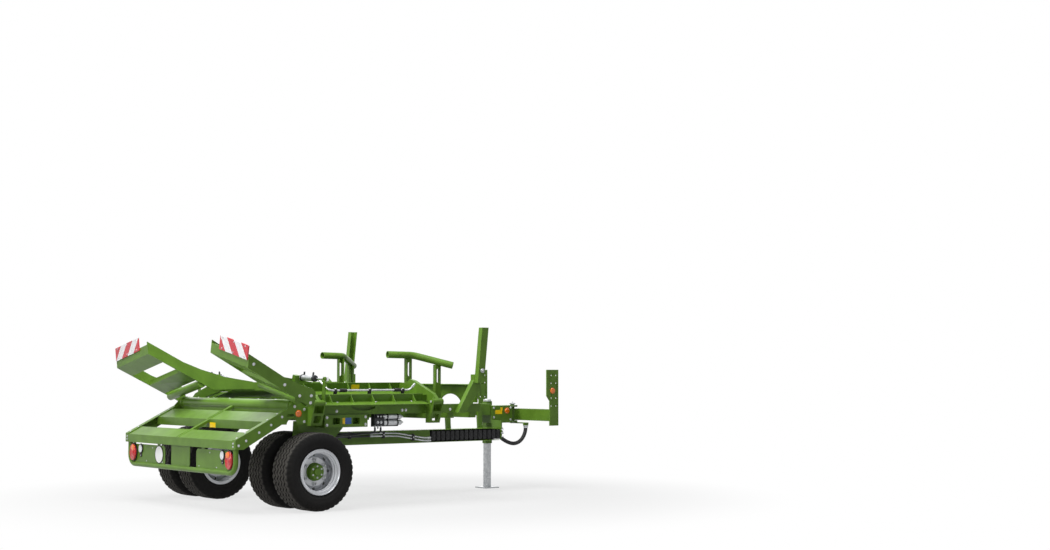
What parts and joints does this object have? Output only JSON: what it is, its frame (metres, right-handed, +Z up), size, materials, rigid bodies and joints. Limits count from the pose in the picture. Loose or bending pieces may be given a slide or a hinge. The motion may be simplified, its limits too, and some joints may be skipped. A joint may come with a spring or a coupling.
{
  "type": "bale collector",
  "caption": "Low towed bale collector with twin wheels, a rear ramp with lamp bar, side wings that fold over the deck, a sliding drawbar and a bolt-on hitch head.",
  "frame": {"origin": "on the ground under the middle of the bounding box", "axes": "+X is the direction of travel, +Y is the machine's left side, +Z is up"},
  "size_m": [4.47, 2.9052, 1.826],
  "materials": {
    "green_paint": "mid-green gloss machine paint",
    "silver_paint": "silver-grey rim paint",
    "tyre_rubber": "dull black tyre rubber",
    "black_plastic": "black moulded chain links",
    "hose_rubber": "black ribbed hose sleeve",
    "lamp_red": "red and amber lamp lens",
    "reflector_white": "white reflector in a black holder",
    "white_plate": "plain white disc",
    "board_stripes": "red and white diagonal stripes",
    "dark_steel": "dark valve block",
    "zinc_steel": "zinc-plated steel",
    "chrome_rod": "hard chrome rod"
  },
  "bodies": {
    "chassis": {"spine": "green_paint", "side_beams": "green_paint", "cross_beams": "green_paint", "front_member": "green_paint", "deck_slats": "green_paint", "guard_boxes": "green_paint", "axle_carriers": "green_paint", "hinge_brackets": "green_paint", "side_plates": "green_paint", "ramp_slats": "green_paint", "lamp_bar": "green_paint", "tail_lamps": "lamp_red", "marker_reflectors": "reflector_white", "speed_disc": "white_plate", "side_posts": "green_paint", "bale_guides": "green_paint", "chain_tray": "green_paint", "valve_block": "dark_steel", "accumulators": "zinc_steel"},
    "wing_right": {"wing_deck_right": "green_paint", "wing_arms_right": "green_paint", "wing_ramp_right": "green_paint", "warning_board_right": "board_stripes", "fold_barrel_right": "zinc_steel", "fold_rod_right": "chrome_rod", "wing_pipe_right": "zinc_steel"},
    "wheels_right": {"tyre_outer_right": "tyre_rubber", "tyre_inner_right": "tyre_rubber", "rims_right": "silver_paint", "hub_right": "green_paint"},
    "wing_left": {"wing_deck_left": "green_paint", "wing_arms_left": "green_paint", "wing_ramp_left": "green_paint", "warning_board_left": "board_stripes", "fold_barrel_left": "zinc_steel", "fold_rod_left": "chrome_rod", "wing_pipe_left": "zinc_steel"},
    "wheels_left": {"tyre_outer_left": "tyre_rubber", "tyre_inner_left": "tyre_rubber", "rims_left": "silver_paint", "hub_left": "green_paint"},
    "drawbar": {"drawbar": "green_paint", "hose_chain": "black_plastic", "supply_hose": "hose_rubber"},
    "crosshead": {"crosshead": "green_paint"},
    "jack": {"jack_leg": "zinc_steel"}
  },
  "joints": [
    {"name": "wing_right_fold", "type": "hinge", "parent": "chassis", "child": "wing_right", "pos_m": [-0.65, -1.29, 1.05], "axis": [1, 0, 0], "range_deg": [0, 168.65]},
    {"name": "wing_left_fold", "type": "hinge", "parent": "chassis", "child": "wing_left", "pos_m": [-0.65, 1.29, 1.05], "axis": [-1, 0, 0], "range_deg": [0, 168.65]},
    {"name": "wheels_right_spin", "type": "hinge", "parent": "chassis", "child": "wheels_right", "pos_m": [-1.385, -0.9955, 0.3825], "axis": [0, 1, 0], "continuous": true},
    {"name": "wheels_left_spin", "type": "hinge", "parent": "chassis", "child": "wheels_left", "pos_m": [-1.385, 0.9955, 0.3825], "axis": [0, 1, 0], "continuous": true},
    {"name": "drawbar_slide", "type": "slide", "parent": "chassis", "child": "drawbar", "axis": [1, 0, 0], "range_m": [0, 0.85]},
    {"name": "hitch_swivel", "type": "hinge", "parent": "drawbar", "child": "crosshead", "pos_m": [2.095, 0, 0.86], "axis": [0, 0, 1], "range_deg": [-20, 20]},
    {"name": "jack_slide", "type": "slide", "parent": "drawbar", "child": "jack", "axis": [0, 0, 1], "range_m": [0, 0.33]}
  ]
}
